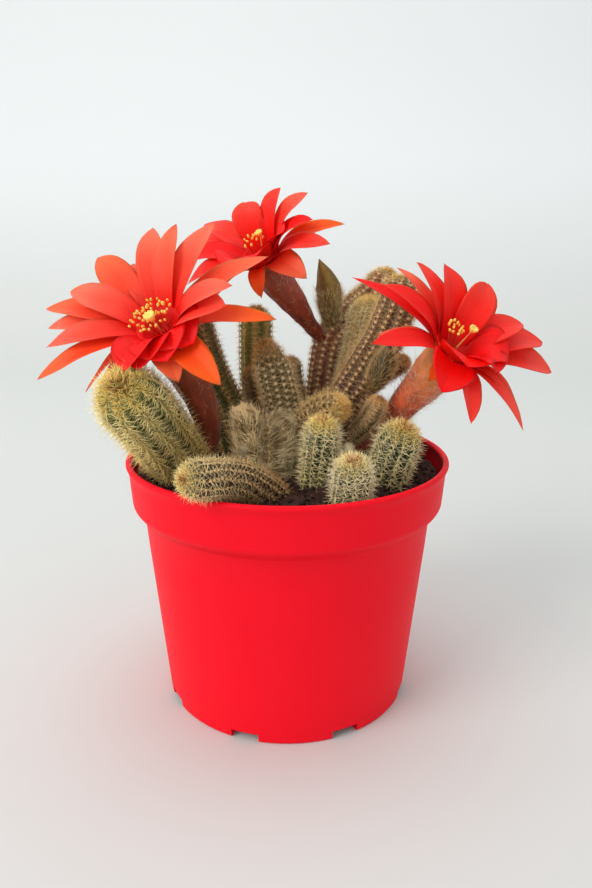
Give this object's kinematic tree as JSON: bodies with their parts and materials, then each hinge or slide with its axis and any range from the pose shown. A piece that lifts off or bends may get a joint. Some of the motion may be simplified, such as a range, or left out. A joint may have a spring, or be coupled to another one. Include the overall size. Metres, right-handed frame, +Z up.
{
  "type": "potted peanut cactus",
  "caption": "Clump of ribbed, spiny finger stems with open star-like flowers and buds, standing in soil in a thin tapered nursery pot.",
  "frame": {"origin": "centre of the pot's flat base, on the surface that it stands on", "axes": "+Z up; -Y is the front that the picture shows; +X to the right as seen from the front"},
  "size_m": [0.1579, 0.1084, 0.1651],
  "materials": {
    "pot": "satin",
    "soil": "matte",
    "stem": "matte",
    "wool": "matte",
    "bud": "matte",
    "tube": "satin",
    "petals": "satin",
    "stamens": "matte"
  },
  "bodies": {
    "root": {"pot": "pot", "soil": "soil", "stem_left": "stem", "stem_over_rim": "stem", "stem_middle": "stem", "stem_turned": "stem", "stem_front": "stem", "stem_front_right": "stem", "stem_right": "stem", "stem_tall": "stem", "stem_pale": "stem", "stem_purple": "stem", "stem_left_back": "stem", "stem_back": "stem", "stub_back_left": "stem", "stub_back": "stem", "stub_right_back": "stem", "stub_left": "stem", "stub_far_right": "stem", "stub_far_back": "stem", "woolly_shoot_left": "wool", "woolly_shoot_right": "wool", "bud_pointed": "bud", "bud_hairy": "bud", "flower_left_tube": "tube", "flower_left_petals": "petals", "flower_left_stamens": "stamens", "flower_back_tube": "tube", "flower_back_petals": "petals", "flower_back_stamens": "stamens", "flower_right_tube": "tube", "flower_right_petals": "petals", "flower_right_stamens": "stamens"}
  },
  "joints": []
}
